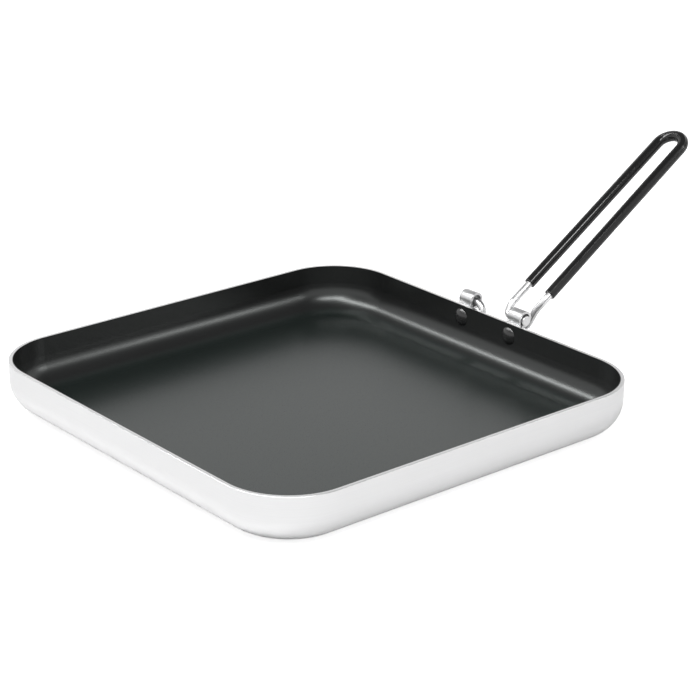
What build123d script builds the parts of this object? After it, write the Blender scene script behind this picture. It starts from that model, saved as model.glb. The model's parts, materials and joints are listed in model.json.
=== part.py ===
from build123d import *
import math
import os

# Square frying pan with a folding handle of bent wire, in millimetres.
# The origin is the centre of the underside. Z is up, and Y points to the handle.

# Pan
PAN_SIDE = 280.0
PAN_HEIGHT = 31.0
COATING = 0.3
WALL = 2.6                                # sheet and coating together
SHEET = WALL - COATING
CORNER_RADIUS = 42.3                      # outside corners, seen from above
BASE_RADIUS = 19.1                        # outside edge between wall and floor
RIM_ROUND = 0.4

# Rivets that hold the eyes on the wall
LEFT_RIVET_X = -21.6
RIGHT_RIVET_X = 20.9
RIVET_DROP = 8.2                          # below the rim
RIVET_SHANK_D = 5.0
RIVET_HEAD_D = 11.4
RIVET_HEAD_HEIGHT = 2.6
RIVET_TAIL_D = 7.8
RIVET_TAIL_HEIGHT = 1.6
RIVET_EDGE_ROUND = 0.6

# Eyes of rolled strip
STRIP_THICKNESS = 1.5
STRIP_WIDTH = 10.5
LEFT_EYE_X = -21.1
RIGHT_EYE_X = 22.4
EYE_HOLE_R = 3.6
EYE_RISE = 2.9                            # centre of the loop above the rim
LEAF_GAP = 0.2                            # between the two leaves of one strip
LEAF_END = 6.4                            # leaf below the rivet
LEAF_ROUND = 3.0
REVERSE_BEND_R = 1.75                     # middle of the strip, where the loop turns into the leaf

# Handle of bent wire
WIRE_D = 4.6
WIRE_END_CHAMFER = 0.5
PLAY_DOWN = 0.9                           # wire in its hole, from the centre down
STOP_GAP = 0.3                            # tongue to wall at rest
LEFT_TIP_X = -26.6
RIGHT_TIP_X = 28.0
UPSET_D = 6.6                             # head on the wire's right end
UPSET_THICKNESS = 1.0
UPSET_CHAMFER = 0.3
TONGUE_LEFT_X = -9.5
TONGUE_RIGHT_X = 9.0
TONGUE_DEPTH = 13.7                       # below the hinge axis
TONGUE_TOP_R = 5.5
TONGUE_LOW_R = 5.0
PASS_OUT = 8.9                            # hinge axis to the wire that passes behind the right eye
PASS_LOW_X = 20.1
PASS_LOW_DROP = 8.2                       # below the hinge axis
PASS_HIGH_X = 27.9
PASS_HIGH_RISE = 5.3                      # above the hinge axis
PASS_LOW_R = 7.0
PASS_HIGH_R = 12.0
LEFT_LEG_X = 11.5                         # at the wall
RIGHT_LEG_X = 31.6
LEFT_LEG_TIP_X = 11.8                     # at the U-bend, where the legs are a little closer
RIGHT_LEG_TIP_X = 30.6
LEG_ANGLE = 32.6                          # above the horizontal
LEG_LINE_RISE = 2.6                       # leg's middle line above the rim at the wall
HANDLE_REACH = 169.2                      # from the wall to the top of the U-bend, along the leg
LEFT_ELBOW_ALONG = 10.7                   # corner of the left elbow, along the leg from the wall
LEFT_ELBOW_R = 10.0
RIGHT_ELBOW_ALONG = 19.0
RIGHT_ELBOW_R = 14.0
HINGE_BEND_R = 2.8                        # left leg into the hinge axis
U_BEND_R = 9.35

# Grip sleeve
SLEEVE_D = 6.9
SLEEVE_LEFT_START = 28.0                  # along the leg from the wall
SLEEVE_RIGHT_START = 25.3

RIVET_DRILL_LENGTH = 26.0                 # longer than all that the rivet joins

WALL_Y = PAN_SIDE / 2
RIVET_Z = PAN_HEIGHT - RIVET_DROP
EYE_MID_R = EYE_HOLE_R + STRIP_THICKNESS / 2
EYE_Y = WALL_Y + EYE_HOLE_R + STRIP_THICKNESS
EYE_Z = PAN_HEIGHT + EYE_RISE
HINGE_Y = EYE_Y
HINGE_Z = EYE_Z - PLAY_DOWN
LEGS = {"left": (LEFT_LEG_X, LEFT_LEG_TIP_X), "right": (RIGHT_LEG_X, RIGHT_LEG_TIP_X)}
EYE_PLACES = {"left": (LEFT_EYE_X, LEFT_RIVET_X), "right": (RIGHT_EYE_X, RIGHT_RIVET_X)}


def tray_form(inset, top):
    """A solid with the pan's outside form, moved in by inset on its sides and floor."""
    side = PAN_SIDE - 2 * inset
    with BuildPart() as form:
        with BuildSketch(Plane.XY.offset(inset)):
            RectangleRounded(side, side, CORNER_RADIUS - inset)
        extrude(amount=top - inset)
        fillet(form.faces().sort_by(Axis.Z)[0].edges(), radius=BASE_RADIUS - inset)
    return form.part


outside_form = tray_form(0, PAN_HEIGHT)
sheet_cavity = tray_form(SHEET, PAN_HEIGHT)
coated_cavity = tray_form(WALL, PAN_HEIGHT)


def rivet_hole(x):
    """Take a rivet's shank out of the open block, across the wall at x."""
    with Locations((x, WALL_Y, RIVET_Z)):
        Cylinder(RIVET_SHANK_D / 2, RIVET_DRILL_LENGTH, rotation=(90, 0, 0), mode=Mode.SUBTRACT)


# The tray of aluminium sheet
with BuildPart() as pan_body:
    add(outside_form)
    add(sheet_cavity, mode=Mode.SUBTRACT)
    fillet(pan_body.faces().sort_by(Axis.Z)[-1].outer_wire().edges(), radius=RIM_ROUND)
    for eye_x, rivet_x in EYE_PLACES.values():
        rivet_hole(rivet_x)
pan_body.part.label = "pan_body"

# The black coating on the inside
with BuildPart() as nonstick_coating:
    add(sheet_cavity)
    add(coated_cavity, mode=Mode.SUBTRACT)
    for eye_x, rivet_x in EYE_PLACES.values():
        rivet_hole(rivet_x)
nonstick_coating.part.label = "nonstick_coating"


def hinge_eye(x, rivet_x):
    """One strip: up the wall, round the loop above the rim, and back down on itself."""
    inner_leaf_y = WALL_Y + STRIP_THICKNESS / 2
    outer_leaf_y = inner_leaf_y + STRIP_THICKNESS + LEAF_GAP
    leaf_bottom = RIVET_Z - LEAF_END
    bend_y = outer_leaf_y + REVERSE_BEND_R
    centre_gap = EYE_MID_R + REVERSE_BEND_R
    bend_z = EYE_Z - math.sqrt(centre_gap**2 - (EYE_Y - bend_y) ** 2)
    past_bottom = math.degrees(math.asin((EYE_Y - bend_y) / centre_gap))
    with BuildPart() as eye:
        with BuildLine(Plane.YZ.offset(x)) as strip_line:
            Line((inner_leaf_y, leaf_bottom), (inner_leaf_y, EYE_Z))
            CenterArc((EYE_Y, EYE_Z), EYE_MID_R, 180, -(270 + past_bottom))
            CenterArc((bend_y, bend_z), REVERSE_BEND_R, 90 - past_bottom, 90 + past_bottom)
            Line((outer_leaf_y, bend_z), (outer_leaf_y, leaf_bottom))
        with BuildSketch(Plane.XY.offset(leaf_bottom)):
            with Locations((x, inner_leaf_y)):
                Rectangle(STRIP_WIDTH, STRIP_THICKNESS)
        sweep(path=strip_line.wires()[0])
        leaf_corners = eye.edges().filter_by(Axis.Y).group_by(Axis.Z)[0]
        fillet(leaf_corners, radius=LEAF_ROUND)
        rivet_hole(rivet_x)
    return eye.part


def rivet(x):
    """Domed head on the coated wall, shank through wall and leaves, and a flat tail outside."""
    head_y = WALL_Y - WALL
    leaves_y = WALL_Y + 2 * STRIP_THICKNESS + LEAF_GAP
    head_r = RIVET_HEAD_D / 2
    shank_r = RIVET_SHANK_D / 2
    tail_r = RIVET_TAIL_D / 2
    dome_r = (head_r**2 + RIVET_HEAD_HEIGHT**2) / (2 * RIVET_HEAD_HEIGHT)
    tail_end = leaves_y + RIVET_TAIL_HEIGHT
    with BuildPart() as body:
        with BuildSketch(Plane.XY.offset(RIVET_Z)):
            with BuildLine():
                RadiusArc((x + head_r, head_y), (x, head_y - RIVET_HEAD_HEIGHT), dome_r)
                Polyline(
                    (x, head_y - RIVET_HEAD_HEIGHT),
                    (x, tail_end),
                    (x + tail_r, tail_end),
                    (x + tail_r, leaves_y),
                    (x + shank_r, leaves_y),
                    (x + shank_r, head_y),
                    (x + head_r, head_y),
                )
            make_face()
        revolve(axis=Axis((x, WALL_Y, RIVET_Z), (0, 1, 0)))
        add(nonstick_coating.part, mode=Mode.SUBTRACT)
        tail_edge = body.edges().filter_by(GeomType.CIRCLE).sort_by(Axis.Y)[-1]
        fillet(tail_edge, radius=RIVET_EDGE_ROUND)
    return body.part


# The two eyes, and the rivets that hold them
hinge_eyes = {}
rivets = {}
for side, (eye_x, rivet_x) in EYE_PLACES.items():
    hinge_eyes[side] = hinge_eye(eye_x, rivet_x)
    hinge_eyes[side].label = "hinge_eye_" + side
    rivets[side] = rivet(rivet_x)
    rivets[side].label = "rivet_" + side


def on_leg(leg, along):
    """A point of the left or right leg's middle line, so far along it from the wall."""
    start_x, tip_x = LEGS[leg]
    x = start_x + (tip_x - start_x) * along / HANDLE_REACH
    slope = math.radians(LEG_ANGLE)
    y = WALL_Y + along * math.cos(slope)
    z = PAN_HEIGHT + LEG_LINE_RISE + along * math.sin(slope)
    return (x, y, z)


# Middle line of the wire, from the end in the left eye to the end in the right one.
# It goes down between the eyes, out behind the right eye, up the right leg and back down the left.
tongue_y = WALL_Y + STOP_GAP + WIRE_D / 2
tongue_z = HINGE_Z - TONGUE_DEPTH
pass_y = HINGE_Y + PASS_OUT
wire_corners = [
    ((TONGUE_LEFT_X, HINGE_Y, HINGE_Z), TONGUE_TOP_R),
    ((TONGUE_LEFT_X, tongue_y, tongue_z), TONGUE_LOW_R),
    ((TONGUE_RIGHT_X, tongue_y, tongue_z), TONGUE_LOW_R),
    ((PASS_LOW_X, pass_y, HINGE_Z - PASS_LOW_DROP), PASS_LOW_R),
    ((PASS_HIGH_X, pass_y, HINGE_Z + PASS_HIGH_RISE), PASS_HIGH_R),
    (on_leg("right", RIGHT_ELBOW_ALONG), RIGHT_ELBOW_R),
    (on_leg("right", HANDLE_REACH), U_BEND_R),
    (on_leg("left", HANDLE_REACH), U_BEND_R),
    (on_leg("left", LEFT_ELBOW_ALONG), LEFT_ELBOW_R),
    ((LEFT_LEG_X, HINGE_Y, HINGE_Z), HINGE_BEND_R),
]
wire_points = [(LEFT_TIP_X, HINGE_Y, HINGE_Z)]
wire_points += [corner for corner, radius in wire_corners]
wire_points += [(RIGHT_TIP_X, HINGE_Y, HINGE_Z)]

# The handle's bent rod
with BuildPart() as handle_wire:
    with BuildLine() as wire_line:
        FilletPolyline(*wire_points, radius=[radius for corner, radius in wire_corners])
    with BuildSketch(Plane(origin=wire_points[0], z_dir=(1, 0, 0))):
        Circle(WIRE_D / 2)
    sweep(path=wire_line.wires()[0])
    left_end = handle_wire.faces().filter_by(GeomType.PLANE).sort_by(Axis.X)[0]
    chamfer(left_end.edges(), length=WIRE_END_CHAMFER)
    with BuildSketch(Plane(origin=wire_points[-1], z_dir=(1, 0, 0))):
        Circle(UPSET_D / 2)
    extrude(amount=UPSET_THICKNESS)
    upset_end = handle_wire.faces().filter_by(GeomType.PLANE).sort_by(Axis.X)[-1]
    chamfer(upset_end.edges(), length=UPSET_CHAMFER)
handle_wire.part.label = "handle_wire"

# The soft tube over the U-bend and the legs
sleeve_points = [
    on_leg("left", SLEEVE_LEFT_START),
    on_leg("left", HANDLE_REACH),
    on_leg("right", HANDLE_REACH),
    on_leg("right", SLEEVE_RIGHT_START),
]
with BuildPart() as grip_sleeve:
    with BuildLine() as sleeve_line:
        FilletPolyline(*sleeve_points, radius=U_BEND_R)
    with BuildSketch(Plane(origin=sleeve_points[0], z_dir=sleeve_line.wires()[0] % 0)):
        Circle(SLEEVE_D / 2)
        Circle(WIRE_D / 2, mode=Mode.SUBTRACT)
    sweep(path=sleeve_line.wires()[0])
grip_sleeve.part.label = "grip_sleeve"

# One file for each piece
pieces = [pan_body.part, nonstick_coating.part, handle_wire.part, grip_sleeve.part]
pieces += list(hinge_eyes.values()) + list(rivets.values())
os.makedirs("parts", exist_ok=True)
for piece in pieces:
    export_step(piece, "parts/" + piece.label + ".step")
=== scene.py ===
import json
import math

import bmesh
import bpy
from mathutils import Matrix, Vector


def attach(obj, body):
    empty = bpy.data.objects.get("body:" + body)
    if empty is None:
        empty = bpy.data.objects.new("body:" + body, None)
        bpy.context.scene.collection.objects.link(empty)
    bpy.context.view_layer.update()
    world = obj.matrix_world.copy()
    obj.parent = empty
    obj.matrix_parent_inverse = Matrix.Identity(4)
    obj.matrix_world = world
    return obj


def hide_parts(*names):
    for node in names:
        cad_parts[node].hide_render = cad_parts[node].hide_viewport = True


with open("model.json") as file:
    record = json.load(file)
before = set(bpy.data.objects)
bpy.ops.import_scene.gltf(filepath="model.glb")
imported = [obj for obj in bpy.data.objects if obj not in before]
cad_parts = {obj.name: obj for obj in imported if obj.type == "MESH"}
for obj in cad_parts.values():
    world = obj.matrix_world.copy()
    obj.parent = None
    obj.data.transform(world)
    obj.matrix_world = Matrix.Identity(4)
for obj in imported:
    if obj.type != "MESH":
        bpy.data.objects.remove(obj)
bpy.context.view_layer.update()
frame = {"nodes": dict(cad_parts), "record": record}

# Square frying pan with a folding wire handle. Sizes are in millimetres up to at_scale().
MM = 0.001
WALL_Y = 140.0                 # outer face of the wall that carries the handle
RIM_Z = 31.0
WALL = 2.6
RIVET_Z = 22.8
LEFT_EYE_X, RIGHT_EYE_X = -21.1, 22.4
LEFT_RIVET_X, RIGHT_RIVET_X = -21.6, 20.9
STRIP_THICKNESS = 1.5
STRIP_WIDTH = 10.5
LEAF_GAP = 0.2
LEAF_END = 6.4
LEAF_ROUND = 3.0
EYE_HOLE_R = 3.6
EYE_Y = WALL_Y + EYE_HOLE_R + STRIP_THICKNESS
EYE_Z = 33.9
REVERSE_BEND_R = 1.75          # where the outer leaf turns down from the loop
STRIP_EDGE_ROUND = 0.28
RIVET_SHANK_R = 2.5
RIVET_HEAD_R = 5.7
RIVET_HEAD_HEIGHT = 2.6
RIVET_TAIL_R = 3.9
RIVET_TAIL_HEIGHT = 1.6
RIVET_EDGE_ROUND = 0.6
WIRE_R = 2.3
WIRE_END_ROUND = 0.5
HINGE_Y = EYE_Y
HINGE_Z = 33.0
SLEEVE_R = 3.45
SLEEVE_END_ROUND = 0.45
SLEEVE_SQUEEZE = 0.02          # how far the sleeve's ends close on the wire
SLEEVE_STARTS = {"left": 28.0, "right": 25.3}          # along each leg from the wall
LEGS = {"left": (11.5, 11.8), "right": (31.6, 30.6)}   # x at the wall and at the U-bend
LEG_ANGLE = 32.6
LEG_LINE_RISE = 2.6
HANDLE_REACH = 169.2           # along a leg, from the wall to the U-bend
U_BEND_R = 9.35
STOP_GAP = 0.3                 # between the wall and the wire's tongue
TONGUE_Y = WALL_Y + STOP_GAP + WIRE_R
TONGUE_Z = HINGE_Z - 13.7
TONGUE_XS = (-9.5, 9.0)
PASS_Y = HINGE_Y + 8.9         # where the wire passes behind the right eye
LEFT_END_X = -26.6
RIGHT_END_X = 28.05            # inside the spread end, which reaches x = 29

# The view, found by fitting a camera to the pan's edges in the picture
CAMERA_AZIMUTH = 49.506        # degrees, from -Y towards +X
CAMERA_HEIGHT = 21.399         # degrees above level
CAMERA_ROLL = 0.626            # degrees
CAMERA_PLACE = (919.666, -758.051, 508.179)
CAMERA_LENS = 112.97           # for a sensor 36 mm wide


def at_scale(point):
    """A point in millimetres as a vector in metres."""
    return Vector(point) * MM


# Nodes: values that can be written in expressions, and one method for every other node
class Value:
    """An output socket. Arithmetic on it adds Math nodes to its tree."""

    def __init__(self, nodes, socket):
        self.nodes = nodes
        self.socket = socket

    def __add__(self, other):
        return self.nodes.math("ADD", self, other)

    def __sub__(self, other):
        return self.nodes.math("SUBTRACT", self, other)

    def __mul__(self, other):
        return self.nodes.math("MULTIPLY", self, other)

    def __gt__(self, other):
        return self.nodes.math("GREATER_THAN", self, other)

    def __lt__(self, other):
        return self.nodes.math("LESS_THAN", self, other)

    def __rsub__(self, other):
        return self.nodes.math("SUBTRACT", other, self)

    __radd__ = __add__
    __rmul__ = __mul__


class Nodes:
    """Adds nodes to one tree, of a material, the world or Geometry Nodes."""

    def __init__(self, tree):
        self.tree = tree

    def node(self, kind, settings=None, sockets=None, out=None):
        """One node: its settings, then values or links by socket name, identifier or place.

        It gives back the node's first output, or the output or outputs named in out.
        """
        made = self.tree.nodes.new(kind)
        for name, value in (settings or {}).items():
            setattr(made, name, value)
        for key, value in (sockets or {}).items():
            self.feed(self.find(made.inputs, key), value)
        if out is None:
            return Value(self, next(s for s in made.outputs if s.enabled)) if made.outputs else made
        if isinstance(out, tuple):
            return [Value(self, self.find(made.outputs, name)) for name in out]
        return Value(self, self.find(made.outputs, out))

    def find(self, sockets, key):
        """The socket with this place, identifier or name."""
        if isinstance(key, int):
            return sockets[key]
        for socket in sockets:
            if socket.identifier == key:
                return socket
        for socket in sockets:
            if socket.name == key and socket.enabled:
                return socket
        raise KeyError(key)

    def feed(self, socket, value):
        """Link a value to a socket, or set the socket to a plain number, colour or vector."""
        if isinstance(value, Value):
            self.tree.links.new(value.socket, socket)
        else:
            socket.default_value = value

    def math(self, operation, *values):
        return self.node("ShaderNodeMath", {"operation": operation}, dict(enumerate(values)))

    def smooth(self, value, low, high, to_low=0.0, to_high=1.0):
        """Value carried smoothly from low..high to to_low..to_high."""
        places = {"Value": value, "From Min": low, "From Max": high}
        places.update({"To Min": to_low, "To Max": to_high})
        return self.node("ShaderNodeMapRange", {"interpolation_type": "SMOOTHSTEP"}, places)

    def blend(self, share, first, second):
        """Colours mixed by share: first at 0, second at 1."""
        sockets = {"Factor_Float": share, "A_Color": first, "B_Color": second}
        return self.node("ShaderNodeMix", {"data_type": "RGBA"}, sockets, "Result_Color")

    def noise(self, where, scale, detail, roughness):
        sockets = {"Vector": where, "Scale": scale, "Detail": detail, "Roughness": roughness}
        return self.node("ShaderNodeTexNoise", {}, sockets)

    def stretched(self, where, scale):
        """Where, with each axis multiplied by its own number."""
        return self.node("ShaderNodeMapping", {}, {"Vector": where, "Scale": scale})

    def bump(self, height, strength, distance):
        sockets = {"Height": height, "Strength": strength, "Distance": distance}
        return self.node("ShaderNodeBump", {}, sockets)


def new_material(name):
    """An empty material with its nodes and its shader's output."""
    material = bpy.data.materials.new(name)
    material.use_nodes = True
    material.node_tree.nodes.clear()
    return material, Nodes(material.node_tree)


def shade(nodes, **sockets):
    """A Principled shader with these sockets, joined to the material's output."""
    named = {key.replace("_", " "): value for key, value in sockets.items()}
    shader = nodes.node("ShaderNodeBsdfPrincipled", {}, named)
    nodes.node("ShaderNodeOutputMaterial", {}, {"Surface": shader})


# Finishes
def satin_aluminium():
    """Pressed sheet: fine lines along the walls, a bright turned rim, a ringed underside."""
    material, n = new_material("satin_aluminium")
    place, facing = n.node("ShaderNodeTexCoord", {}, {}, ("Object", "Normal"))
    x, y, z = n.node("ShaderNodeSeparateXYZ", {}, {"Vector": place}, ("X", "Y", "Z"))
    up = n.node("ShaderNodeSeparateXYZ", {}, {"Vector": facing}, "Z")
    level = n.math("ABSOLUTE", up)
    on_wall = n.smooth(level, 0.5, 0.9, 1.0, 0.0)
    rim = n.smooth(z, 0.0305, 0.0309)
    wall_lines = n.noise(n.stretched(place, (14.0, 14.0, 2600.0)), 1.0, 4.0, 0.7)
    cloud = n.noise(place, 9.0, 3.0, 0.55)
    out_from_middle = n.math("MAXIMUM", n.math("ABSOLUTE", x), n.math("ABSOLUTE", y))
    rim_where = n.node("ShaderNodeCombineXYZ", {},
                       {"X": out_from_middle * 9000.0, "Y": x + y, "Z": z})
    rim_lines = n.noise(rim_where, 1.0, 2.0, 0.6)
    radius = n.math("SQRT", x * x + y * y)
    ring_where = n.node("ShaderNodeCombineXYZ", {}, {"X": radius * 1500.0})
    rings = n.noise(ring_where, 1.0, 2.0, 0.5)
    flat_lines = rim_lines * rim + rings * (1.0 - rim)
    lines = wall_lines * on_wall + flat_lines * (1.0 - on_wall)
    rubbed = n.smooth(n.noise(place, 60.0, 4.0, 0.6), 0.45, 0.75)
    tone = n.blend(lines, (0.77, 0.77, 0.772, 1.0), (0.88, 0.88, 0.882, 1.0))
    tone = n.blend(cloud * 0.5, tone, (0.79, 0.79, 0.795, 1.0))
    rough = 0.30 + lines * 0.10 + cloud * 0.06 + rubbed * 0.03 - rim * 0.08
    normal = n.bump(lines, 0.35, 0.00002)
    shade(n, Base_Color=tone, Metallic=1.0, Roughness=rough, Normal=normal)
    return material


def nonstick_black():
    """Baked coating: near black, half matte, with a fine grain and faint rub marks, and a painted
    sheen that makes the floor lighter and greener than the walls.
    """
    material, n = new_material("nonstick_black")
    place = n.node("ShaderNodeTexCoord", {}, {}, "Object")
    z = n.node("ShaderNodeSeparateXYZ", {}, {"Vector": place}, "Z")
    on_floor = n.smooth(z, 0.0031, 0.0060, 1.0, 0.0)
    grain = n.noise(place, 1400.0, 3.0, 0.6)
    peel = n.noise(place, 220.0, 2.0, 0.5)
    cloud = n.noise(place, 14.0, 3.0, 0.5)
    fleck = n.smooth(n.noise(place, 2600.0, 1.0, 0.5), 0.66, 0.78)
    wall_tone = n.blend(cloud, (0.0030, 0.0030, 0.0030, 1.0), (0.0055, 0.0055, 0.0055, 1.0))
    # Painted sheen: the floor's colour is lighter and greener than the walls' to stand in for its
    # reflection
    painted_sheen_floor_tone = n.blend(cloud, (0.0066, 0.0098, 0.0088, 1.0), (0.0096, 0.0134, 0.0122, 1.0))
    tone = n.blend(on_floor, wall_tone, painted_sheen_floor_tone)
    tone = n.blend(fleck * 0.5, tone, (0.06, 0.064, 0.062, 1.0))
    rough = 0.25 + grain * 0.05 + cloud * 0.03 - fleck * 0.06
    height = grain * 0.6 + peel * 0.4
    normal = n.bump(height, 0.50, 0.00005)
    shade(n, Base_Color=tone, Metallic=0.0, Roughness=rough, Normal=normal, IOR=1.62,
          Specular_Tint=(0.955, 1.0, 0.985, 1.0))
    return material


def coated_rivet():
    """The coating on the head inside the pan, and bare turned metal on the tail outside."""
    material, n = new_material("coated_rivet")
    place = n.node("ShaderNodeTexCoord", {}, {}, "Object")
    y = n.node("ShaderNodeSeparateXYZ", {}, {"Vector": place}, "Y")
    outside = y > (WALL_Y - WALL / 2) * MM
    grain = n.noise(place, 1400.0, 3.0, 0.6)
    peel = n.noise(place, 300.0, 2.0, 0.5)
    black = n.blend(peel, (0.006, 0.006, 0.006, 1.0), (0.010, 0.010, 0.010, 1.0))
    metal = n.blend(peel, (0.62, 0.62, 0.63, 1.0), (0.78, 0.78, 0.79, 1.0))
    tone = n.blend(outside, black, metal)
    rough = 0.22 + grain * 0.05 + peel * 0.04
    normal = n.bump(grain * 0.5 + peel * 0.5, 0.3, 0.00003)
    shade(n, Base_Color=tone, Metallic=outside, Roughness=rough, Normal=normal, IOR=1.65)
    return material


def strip_steel():
    """Rolled strip: lines along the strip, and darker marks from the bending tool."""
    material, n = new_material("strip_steel")
    place = n.node("ShaderNodeTexCoord", {}, {}, "Object")
    along = n.node("ShaderNodeAttribute", {"attribute_name": "along"}, {}, "Fac")
    x = n.node("ShaderNodeSeparateXYZ", {}, {"Vector": place}, "X")
    where = n.node("ShaderNodeCombineXYZ", {}, {"X": x * 5200.0, "Y": along * 70.0})
    lines = n.noise(where, 1.0, 3.0, 0.65)
    cloud = n.noise(place, 260.0, 3.0, 0.6)
    scuff = n.smooth(n.noise(place, 700.0, 3.0, 0.6), 0.5, 0.75)
    tone = n.blend(lines, (0.66, 0.66, 0.665, 1.0), (0.84, 0.84, 0.845, 1.0))
    tone = n.blend(cloud * 0.3, tone, (0.58, 0.58, 0.585, 1.0))
    rough = 0.32 + lines * 0.08 + cloud * 0.06 + scuff * 0.05
    normal = n.bump(lines * 0.7 + scuff * 0.3, 0.25, 0.00002)
    shade(n, Base_Color=tone, Metallic=1.0, Roughness=rough, Normal=normal)
    return material


def tube_place(n, across, lengthways):
    """Where on a tube: round it and along it, with no seam."""
    around = n.node("ShaderNodeAttribute", {"attribute_name": "around"}, {}, "Vector")
    along = n.node("ShaderNodeAttribute", {"attribute_name": "along"}, {}, "Fac")
    a, b = n.node("ShaderNodeSeparateXYZ", {}, {"Vector": around}, ("X", "Y"))
    return n.node("ShaderNodeCombineXYZ", {},
                  {"X": a * across, "Y": b * across, "Z": along * lengthways})


def plated_wire():
    """Bright plated rod with fine drawing lines, partly painted: the dark streaks along it in its
    colour are painted reflection.
    """
    material, n = new_material("plated_wire")
    place = n.node("ShaderNodeTexCoord", {}, {}, "Object")
    lines = n.noise(tube_place(n, 4.5, 9.0), 1.0, 2.0, 0.6)
    fine = n.noise(tube_place(n, 30.0, 40.0), 1.0, 2.0, 0.6)
    cloud = n.noise(place, 120.0, 3.0, 0.5)
    # Dark streaks along the rod: partly drawing lines, partly painted reflection of dark
    # surroundings
    tone = n.blend(n.smooth(lines, 0.42, 0.54), (0.34, 0.34, 0.345, 1.0), (0.96, 0.96, 0.96, 1.0))
    tone = n.blend(cloud * 0.2, tone, (0.78, 0.78, 0.785, 1.0))
    rough = 0.26 + fine * 0.08 + cloud * 0.04
    normal = n.bump(lines * 0.4 + fine * 0.6, 0.16, 0.00003)
    shade(n, Base_Color=tone, Metallic=1.0, Roughness=rough, Normal=normal)
    return material


def grip_black():
    """Soft tube: near black, half gloss, faint lines from drawing and small rub marks."""
    material, n = new_material("grip_black")
    place = n.node("ShaderNodeTexCoord", {}, {}, "Object")
    lines = n.noise(tube_place(n, 3.6, 2.5), 1.0, 1.0, 0.5)
    peel = n.noise(place, 900.0, 2.0, 0.5)
    rubbed = n.smooth(n.noise(place, 110.0, 4.0, 0.65), 0.5, 0.8)
    tone = n.blend(lines, (0.004, 0.004, 0.004, 1.0), (0.009, 0.009, 0.009, 1.0))
    tone = n.blend(rubbed * 0.2, tone, (0.022, 0.022, 0.022, 1.0))
    rough = 0.10 + peel * 0.03 + rubbed * 0.06 + lines * 0.03
    normal = n.bump(lines * 0.98 + peel * 0.02, 1.0, 0.00045)
    shade(n, Base_Color=tone, Metallic=0.0, Roughness=rough, Normal=normal, IOR=1.5)
    return material


FINISHES = {
    "satin_aluminium": satin_aluminium(),
    "nonstick_black": nonstick_black(),
    "coated_rivet": coated_rivet(),
    "strip_steel": strip_steel(),
    "plated_wire": plated_wire(),
    "grip_black": grip_black(),
}


# Geometry Nodes trees
class Tree:
    """A Geometry Nodes tree with named inputs. Its first input is the geometry."""

    def __init__(self, name, **inputs):
        self.group = bpy.data.node_groups.new(name, "GeometryNodeTree")
        sockets = self.group.interface
        sockets.new_socket("Geometry", in_out="INPUT", socket_type="NodeSocketGeometry")
        sockets.new_socket("Geometry", in_out="OUTPUT", socket_type="NodeSocketGeometry")
        self.idents = {}
        for key, kind in inputs.items():
            made = sockets.new_socket(key, in_out="INPUT", socket_type="NodeSocket" + kind)
            self.idents[key] = made.identifier
        self.nodes = Nodes(self.group)
        start = self.group.nodes.new("NodeGroupInput")
        self.start = {s.name: Value(self.nodes, s) for s in start.outputs if s.name}

    def end(self, geometry):
        """Realize Instances and Set Material, and out."""
        n = self.nodes
        real = n.node("GeometryNodeRealizeInstances", {}, {"Geometry": geometry})
        done = n.node("GeometryNodeSetMaterial", {},
                      {"Geometry": real, "Material": self.start["Material"]})
        n.node("NodeGroupOutput", {}, {"Geometry": done})

    def put_on(self, thing, **values):
        """The tree as a modifier, with its inputs set."""
        modifier = thing.modifiers.new(self.group.name, "NODES")
        modifier.node_group = self.group
        for key, value in values.items():
            modifier[self.idents[key]] = value


def bent_tube_tree():
    """A tube on a line of corners. Each point's radius is the bend's radius there."""
    tree = Tree("bent_tube", Radius="Float", EndRound="Float", EndRadius="Float",
                Sides="Int", Material="Material")
    n, given = tree.nodes, tree.start
    bend = n.node("GeometryNodeInputRadius")
    line = n.node("GeometryNodeFilletCurve", {"mode": "POLY"},
                  {"Curve": given["Geometry"], "Count": 22, "Radius": bend, "Limit Radius": True})
    length = n.node("GeometryNodeSplineParameter", {}, {}, "Length")
    whole = n.node("GeometryNodeSplineLength", {}, {}, "Length")
    from_end = n.math("MINIMUM", length, whole - length)
    rounding = given["EndRound"]
    inward = n.math("MAXIMUM", rounding - from_end, 0.0)
    quarter = n.math("SQRT", n.math("MAXIMUM", rounding * rounding - inward * inward, 0.0))
    side = given["Radius"] - rounding + quarter
    at_tip = from_end < 0.000004
    radius = at_tip * given["EndRadius"] + (1.0 - at_tip) * side
    line = n.node("GeometryNodeStoreNamedAttribute", {"data_type": "FLOAT", "domain": "POINT"},
                  {"Geometry": line, "Name": "along", "Value": length})
    ring = n.node("GeometryNodeCurvePrimitiveCircle", {"mode": "RADIUS"},
                  {"Resolution": given["Sides"], "Radius": 1.0})
    spot = n.node("GeometryNodeInputPosition")
    ring = n.node("GeometryNodeStoreNamedAttribute",
                  {"data_type": "FLOAT_VECTOR", "domain": "POINT"},
                  {"Geometry": ring, "Name": "around", "Value": spot})
    skin = n.node("GeometryNodeCurveToMesh", {},
                  {"Curve": line, "Profile Curve": ring, "Scale": radius, "Fill Caps": True})
    tree.end(skin)
    return tree


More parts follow.
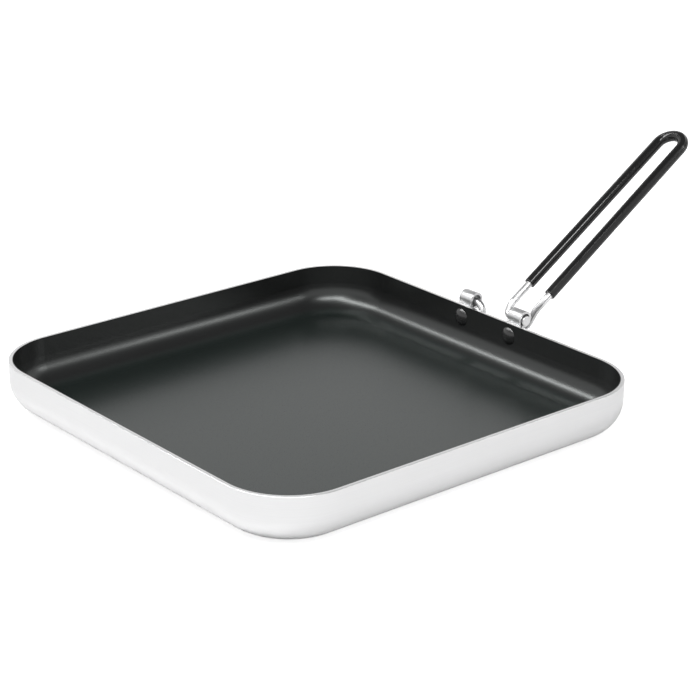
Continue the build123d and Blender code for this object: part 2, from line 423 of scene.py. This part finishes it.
def rolled_strip_tree():
    """A ribbon on a line in the plane of Y and Z, with round ends, set at each hinge eye."""
    tree = Tree("rolled_strip", Width="Float", EndRound="Float", First="Float",
                Spacing="Float", Count="Int", Material="Material")
    n, given = tree.nodes, tree.start
    length = n.node("GeometryNodeSplineParameter", {}, {}, "Length")
    whole = n.node("GeometryNodeSplineLength", {}, {}, "Length")
    from_end = n.math("MINIMUM", length, whole - length)
    rounding = given["EndRound"]
    inward = n.math("MAXIMUM", rounding - from_end, 0.0)
    quarter = n.math("SQRT", n.math("MAXIMUM", rounding * rounding - inward * inward, 0.0))
    cut = rounding - quarter
    line = n.node("GeometryNodeStoreNamedAttribute", {"data_type": "FLOAT", "domain": "POINT"},
                  {"Geometry": given["Geometry"], "Name": "along", "Value": length})
    line = n.node("GeometryNodeStoreNamedAttribute", {"data_type": "FLOAT", "domain": "POINT"},
                  {"Geometry": line, "Name": "cut", "Value": cut})
    across = n.node("GeometryNodeCurvePrimitiveLine", {},
                    {"Start": (-1.0, 0.0, 0.0), "End": (1.0, 0.0, 0.0)})
    skin = n.node("GeometryNodeCurveToMesh", {}, {"Curve": line, "Profile Curve": across})
    spot = n.node("GeometryNodeInputPosition")
    x, y, z = n.node("ShaderNodeSeparateXYZ", {}, {"Vector": spot}, ("X", "Y", "Z"))
    lost = n.node("GeometryNodeInputNamedAttribute", {"data_type": "FLOAT"}, {"Name": "cut"})
    half = given["Width"] * 0.5 - lost
    moved = n.node("ShaderNodeCombineXYZ", {}, {"X": n.math("SIGN", x) * half, "Y": y, "Z": z})
    skin = n.node("GeometryNodeSetPosition", {}, {"Geometry": skin, "Position": moved})
    tree.end(spaced(n, given, skin))
    return tree


def spaced(n, given, piece):
    """Piece set Count times along X, from First, Spacing apart."""
    start = n.node("ShaderNodeCombineXYZ", {}, {"X": given["First"]})
    step = n.node("ShaderNodeCombineXYZ", {}, {"X": given["Spacing"]})
    row = n.node("GeometryNodeMeshLine", {"mode": "OFFSET"},
                 {"Count": given["Count"], "Start Location": start, "Offset": step})
    return n.node("GeometryNodeInstanceOnPoints", {}, {"Points": row, "Instance": piece})


def turned_row_tree():
    """A turned form on a line, where each point's radius is the form's, set in a row along X."""
    tree = Tree("turned_row", First="Float", Spacing="Float", Count="Int", Sides="Int",
                Material="Material")
    n, given = tree.nodes, tree.start
    ring = n.node("GeometryNodeCurvePrimitiveCircle", {"mode": "RADIUS"},
                  {"Resolution": given["Sides"], "Radius": 1.0})
    form_radius = n.node("GeometryNodeInputRadius")
    skin = n.node("GeometryNodeCurveToMesh", {},
                  {"Curve": given["Geometry"], "Profile Curve": ring, "Scale": form_radius,
                   "Fill Caps": True})
    tree.end(spaced(n, given, skin))
    return tree


def line_object(name, points, radii):
    """A curve of straight runs through points in millimetres, with a radius in metres at each."""
    curve = bpy.data.curves.new(name, "CURVE")
    curve.dimensions = "3D"
    spline = curve.splines.new("POLY")
    spline.points.add(len(points) - 1)
    for place, point, radius in zip(spline.points, points, radii):
        place.co = (*at_scale(point), 1.0)
        place.radius = radius
    thing = bpy.data.objects.new(name, curve)
    bpy.context.scene.collection.objects.link(thing)
    return thing


def settled(source, name, sharp=35.0):
    """The evaluated object as a plain mesh: merged, facing outwards, smooth but for sharp edges."""
    bpy.context.view_layer.update()
    seen = source.evaluated_get(bpy.context.evaluated_depsgraph_get())
    mesh = bpy.data.meshes.new_from_object(seen)
    mesh.name = name
    shape = bmesh.new()
    shape.from_mesh(mesh)
    bmesh.ops.remove_doubles(shape, verts=shape.verts, dist=1e-7)
    bmesh.ops.recalc_face_normals(shape, faces=shape.faces)
    for face in shape.faces:
        face.smooth = True
    for edge in shape.edges:
        edge.smooth = edge.calc_face_angle(0.0) < math.radians(sharp)
    shape.to_mesh(mesh)
    shape.free()
    thing = bpy.data.objects.new(name, mesh)
    bpy.context.scene.collection.objects.link(thing)
    bpy.data.objects.remove(source)
    return thing


def on_leg(leg, along):
    """A point of a leg's straight middle line, so far along it from the wall."""
    start_x, tip_x = LEGS[leg]
    x = start_x + (tip_x - start_x) * along / HANDLE_REACH
    slope = math.radians(LEG_ANGLE)
    y = WALL_Y + along * math.cos(slope)
    z = RIM_Z + LEG_LINE_RISE + along * math.sin(slope)
    return (x, y, z)


def tip_points(tip, towards, rounding):
    """The tip and a few points after it, close enough together to carry its rounding."""
    start, end = Vector(tip), Vector(towards)
    way = (end - start).normalized()
    steps = [0.0, 0.01] + [rounding * (1 - math.cos(math.radians(a))) for a in (22.5, 45, 67.5, 90)]
    return [tuple(start + way * step) for step in steps]


def tube(name, corners, radius, end_round, end_radius, sides, finish):
    """A bent tube through corners of (point, bend radius), all in millimetres."""
    places = [point for point, bend in corners]
    first = tip_points(places[0], places[1], end_round)
    last = tip_points(places[-1], places[-2], end_round)[::-1]
    points = first + places[1:-1] + last
    bends = [0.0] * len(first) + [bend * MM for point, bend in corners[1:-1]] + [0.0] * len(last)
    source = line_object(name + "_line", points, bends)
    BENT_TUBE.put_on(source, Radius=radius * MM, EndRound=end_round * MM,
                     EndRadius=end_radius * MM, Sides=sides, Material=FINISHES[finish])
    return settled(source, name)


BENT_TUBE = bent_tube_tree()
ROLLED_STRIP = rolled_strip_tree()
TURNED_ROW = turned_row_tree()

# The bent rod, as corners and the bend's radius at each: from the left eye down behind the wall,
# out behind the right eye, round the handle and into the right eye
rod_corners = [
    ((LEFT_END_X, HINGE_Y, HINGE_Z), 0.0),
    ((TONGUE_XS[0], HINGE_Y, HINGE_Z), 5.5),
    ((TONGUE_XS[0], TONGUE_Y, TONGUE_Z), 5.0),
    ((TONGUE_XS[1], TONGUE_Y, TONGUE_Z), 5.0),
    ((20.1, PASS_Y, HINGE_Z - 8.2), 7.0),
    ((27.9, PASS_Y, HINGE_Z + 5.3), 12.0),
    (on_leg("right", 19.0), 14.0),
    (on_leg("right", HANDLE_REACH), U_BEND_R),
    (on_leg("left", HANDLE_REACH), U_BEND_R),
    (on_leg("left", 10.7), 10.0),
    ((LEGS["left"][0], HINGE_Y, HINGE_Z), 2.8),
    ((RIGHT_END_X, HINGE_Y, HINGE_Z), 0.0),
]
handle_rod = tube("handle_rod", rod_corners, WIRE_R, WIRE_END_ROUND, WIRE_R - WIRE_END_ROUND,
                  sides=40, finish="plated_wire")

# The rod's right end, spread over the eye's edge: (x, radius) with both rims rounded
end_form = [(27.71, 2.2), (27.73, 3.0), (27.78, 3.15), (27.88, 3.26), (28.0, 3.3), (28.6, 3.3),
            (28.75, 3.26), (28.86, 3.16), (28.93, 3.0), (28.97, 2.6), (29.0, 1.6)]
end_line = line_object("end_line", [(x, HINGE_Y, HINGE_Z) for x, radius in end_form],
                       [radius * MM for x, radius in end_form])
TURNED_ROW.put_on(end_line, First=0.0, Spacing=0.0, Count=1, Sides=48,
                  Material=FINISHES["plated_wire"])
spread_end = settled(end_line, "spread_end")
joined = bmesh.new()
joined.from_mesh(handle_rod.data)
joined.from_mesh(spread_end.data)
joined.to_mesh(handle_rod.data)
joined.free()
bpy.data.objects.remove(spread_end)

# The soft tube over the U-bend and the legs
grip_corners = [
    (on_leg("left", SLEEVE_STARTS["left"]), 0.0),
    (on_leg("left", HANDLE_REACH), U_BEND_R),
    (on_leg("right", HANDLE_REACH), U_BEND_R),
    (on_leg("right", SLEEVE_STARTS["right"]), 0.0),
]
grip_tube = tube("grip_tube", grip_corners, SLEEVE_R, SLEEVE_END_ROUND, WIRE_R - SLEEVE_SQUEEZE,
                 sides=48, finish="grip_black")


# The eyes of rolled strip
def eye_line():
    """Middle line of one strip, up the wall, round the loop and back down, at x = 0."""
    inner_y = WALL_Y + STRIP_THICKNESS / 2
    outer_y = inner_y + STRIP_THICKNESS + LEAF_GAP
    bottom = RIVET_Z - LEAF_END
    loop_r = EYE_HOLE_R + STRIP_THICKNESS / 2
    bend_y = outer_y + REVERSE_BEND_R
    centres = loop_r + REVERSE_BEND_R
    bend_z = EYE_Z - math.sqrt(centres**2 - (EYE_Y - bend_y) ** 2)
    past = math.degrees(math.asin((EYE_Y - bend_y) / centres))
    steps = [LEAF_ROUND * (1 - math.cos(math.radians(a))) for a in range(0, 91, 10)]
    points = [(0.0, inner_y, bottom + step) for step in steps]
    turn = 270.0 + past
    for i in range(91):
        angle = math.radians(180.0 - turn * i / 90)
        points.append((0.0, EYE_Y + loop_r * math.cos(angle), EYE_Z + loop_r * math.sin(angle)))
    back = 90.0 + past
    for i in range(1, 25):
        angle = math.radians(90.0 - past + back * i / 24)
        points.append((0.0, bend_y + REVERSE_BEND_R * math.cos(angle),
                       bend_z + REVERSE_BEND_R * math.sin(angle)))
    points += [(0.0, outer_y, bottom + step) for step in steps[::-1]]
    return points


strip_points = eye_line()
strip = line_object("strip_line", strip_points, [1.0] * len(strip_points))
ROLLED_STRIP.put_on(strip, Width=STRIP_WIDTH * MM, EndRound=LEAF_ROUND * MM,
                    First=LEFT_EYE_X * MM, Spacing=(RIGHT_EYE_X - LEFT_EYE_X) * MM, Count=2,
                    Material=FINISHES["strip_steel"])
ribbons = settled(strip, "ribbons", sharp=180.0)
thicken = ribbons.modifiers.new("thickness", "SOLIDIFY")
thicken.thickness = STRIP_THICKNESS * MM
thicken.offset = 0.0
thicken.use_even_offset = True
soften = ribbons.modifiers.new("edges", "BEVEL")
soften.width = STRIP_EDGE_ROUND * MM
soften.segments = 3
soften.limit_method = "ANGLE"
soften.angle_limit = math.radians(50.0)
hinge_eyes = settled(ribbons, "hinge_eyes")


# The rivets
def rivet_form():
    """Points (y, radius) from the top of the domed head to the end of the flat tail."""
    head_y = WALL_Y - WALL
    leaves_y = WALL_Y + 2 * STRIP_THICKNESS + LEAF_GAP
    dome_r = (RIVET_HEAD_R**2 + RIVET_HEAD_HEIGHT**2) / (2 * RIVET_HEAD_HEIGHT)
    widest = math.asin(RIVET_HEAD_R / dome_r)
    form = []
    for i in range(1, 19):
        angle = widest * i / 18
        form.append((head_y - RIVET_HEAD_HEIGHT + dome_r * (1 - math.cos(angle)),
                     dome_r * math.sin(angle)))
    form += [(head_y + 0.01, RIVET_SHANK_R), (leaves_y - 0.01, RIVET_SHANK_R),
             (leaves_y, RIVET_TAIL_R)]
    tail_y = leaves_y + RIVET_TAIL_HEIGHT
    edge = RIVET_EDGE_ROUND
    for i in range(7):
        angle = math.radians(15.0 * i)
        form.append((tail_y - edge + edge * math.sin(angle),
                     RIVET_TAIL_R - edge + edge * math.cos(angle)))
    return form


rivet_points = rivet_form()
axle = line_object("rivet_line", [(0.0, y, RIVET_Z) for y, radius in rivet_points],
                   [radius * MM for y, radius in rivet_points])
TURNED_ROW.put_on(axle, First=LEFT_RIVET_X * MM, Spacing=(RIGHT_RIVET_X - LEFT_RIVET_X) * MM,
                  Count=2, Sides=56, Material=FINISHES["coated_rivet"])
rivets = settled(axle, "rivets")

# What rides on what, and which solids the pieces stand for
for piece, body, finish, nodes in (
    (handle_rod, "handle", "plated_wire", ["handle_wire"]),
    (grip_tube, "handle", "grip_black", ["grip_sleeve"]),
    (hinge_eyes, "pan", "strip_steel", ["hinge_eye_left", "hinge_eye_right"]),
    (rivets, "pan", "coated_rivet", ["rivet_left", "rivet_right"]),
):
    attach(piece, body)
    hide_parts(*nodes)


def refinish(node, finish):
    """Put a finish on a CAD node's own object."""
    thing = frame["nodes"][node]
    if not thing.material_slots:
        thing.data.materials.append(None)
    for slot in thing.material_slots:
        slot.material = FINISHES[finish]


for entry in frame["record"]["subparts"]:
    refinish(entry["node"], entry["material_slot"])


# Floor, light and camera
def studio_floor():
    """Pale floor that looks white beside the object, keeps its shadow and is clear from below."""
    material, n = new_material("studio_floor")
    camera, glossy = n.node("ShaderNodeLightPath", {}, {}, ("Is Camera Ray", "Is Glossy Ray"))
    behind = n.node("ShaderNodeNewGeometry", {}, {}, "Backfacing")
    seen = camera * 0.70 + glossy * 0.03
    matt = n.node("ShaderNodeBsdfDiffuse", {}, {"Color": (0.66, 0.66, 0.66, 1.0)})
    glow = n.node("ShaderNodeEmission", {}, {"Color": (1.0, 1.0, 1.0, 1.0), "Strength": seen})
    lit = n.node("ShaderNodeAddShader", {}, {0: matt, 1: glow})
    clear = n.node("ShaderNodeBsdfTransparent")
    one_sided = n.node("ShaderNodeMixShader", {}, {0: behind, 1: lit, 2: clear})
    n.node("ShaderNodeOutputMaterial", {}, {"Surface": one_sided})
    return material


def make_floor():
    """A wide disc under the pan."""
    shape = bmesh.new()
    bmesh.ops.create_circle(shape, cap_ends=True, segments=96, radius=6.0)
    mesh = bpy.data.meshes.new("floor")
    shape.to_mesh(mesh)
    shape.free()
    mesh.materials.append(studio_floor())
    floor = bpy.data.objects.new("floor", mesh)
    bpy.context.scene.collection.objects.link(floor)


def make_world():
    """White to the camera. To all else white low down and grey overhead, for metal to show."""
    world = bpy.data.worlds.new("studio")
    bpy.context.scene.world = world
    world.use_nodes = True
    world.node_tree.nodes.clear()
    n = Nodes(world.node_tree)
    way = n.node("ShaderNodeTexCoord", {}, {}, "Generated")
    z = n.node("ShaderNodeSeparateXYZ", {}, {"Vector": way}, "Z")
    camera = n.node("ShaderNodeLightPath", {}, {}, "Is Camera Ray")
    overhead = n.smooth(z, 0.40, 0.62)
    tent = n.blend(overhead, (1.0, 1.0, 1.0, 1.0), (0.20, 0.20, 0.203, 1.0))
    tone = n.blend(camera, tent, (1.0, 1.0, 1.0, 1.0))
    sky = n.node("ShaderNodeBackground", {}, {"Color": tone, "Strength": 1.0})
    n.node("ShaderNodeOutputWorld", {}, {"Surface": sky})


def soft_box(name, place, aim, size, watts):
    """A rectangular lamp at place, in metres, turned to face aim, with its long side level."""
    lamp = bpy.data.lights.new(name, "AREA")
    lamp.shape = "RECTANGLE"
    lamp.size, lamp.size_y = size
    lamp.energy = watts
    thing = bpy.data.objects.new(name, lamp)
    thing.location = place
    back = (Vector(place) - Vector(aim)).normalized()
    side = Vector((0.0, 0.0, 1.0)).cross(back).normalized()
    turn = Matrix((side, back.cross(side), back)).transposed()
    thing.rotation_euler = turn.to_euler()
    bpy.context.scene.collection.objects.link(thing)


def make_camera():
    """The camera that sees the pan as the picture does."""
    azimuth, height, roll = (math.radians(a) for a in (CAMERA_AZIMUTH, CAMERA_HEIGHT, CAMERA_ROLL))
    back = Vector((math.sin(azimuth) * math.cos(height), -math.cos(azimuth) * math.cos(height),
                   math.sin(height)))
    right = (-back).cross(Vector((0, 0, 1))).normalized()
    up = right.cross(-back)
    turned_right = right * math.cos(roll) + up * math.sin(roll)
    turned_up = up * math.cos(roll) - right * math.sin(roll)
    data = bpy.data.cameras.new("camera")
    data.sensor_width = 36.0
    data.lens = CAMERA_LENS
    data.clip_start, data.clip_end = 0.05, 20.0
    camera = bpy.data.objects.new("camera", data)
    turn = Matrix((turned_right, turned_up, back)).transposed().to_4x4()
    camera.matrix_world = Matrix.Translation(at_scale(CAMERA_PLACE)) @ turn
    bpy.context.scene.collection.objects.link(camera)
    bpy.context.scene.camera = camera


make_floor()
make_world()
# Lamps, placed where the coating's rounded edges reflect them
soft_box("long_box", (-0.55, -0.68, 1.30), (-0.55, 0.0, 0.0), (2.1, 0.20), 22.0)
soft_box("corner_box", (0.78, -0.45, 1.30), (0.0, 0.0, 0.0), (1.20, 0.24), 13.0)
soft_box("side_box", (1.25, 1.05, 0.62), (0.0, 0.0, 0.0), (0.30, 0.30), 2.2)
make_camera()
bpy.context.scene.view_settings.view_transform = "Standard"
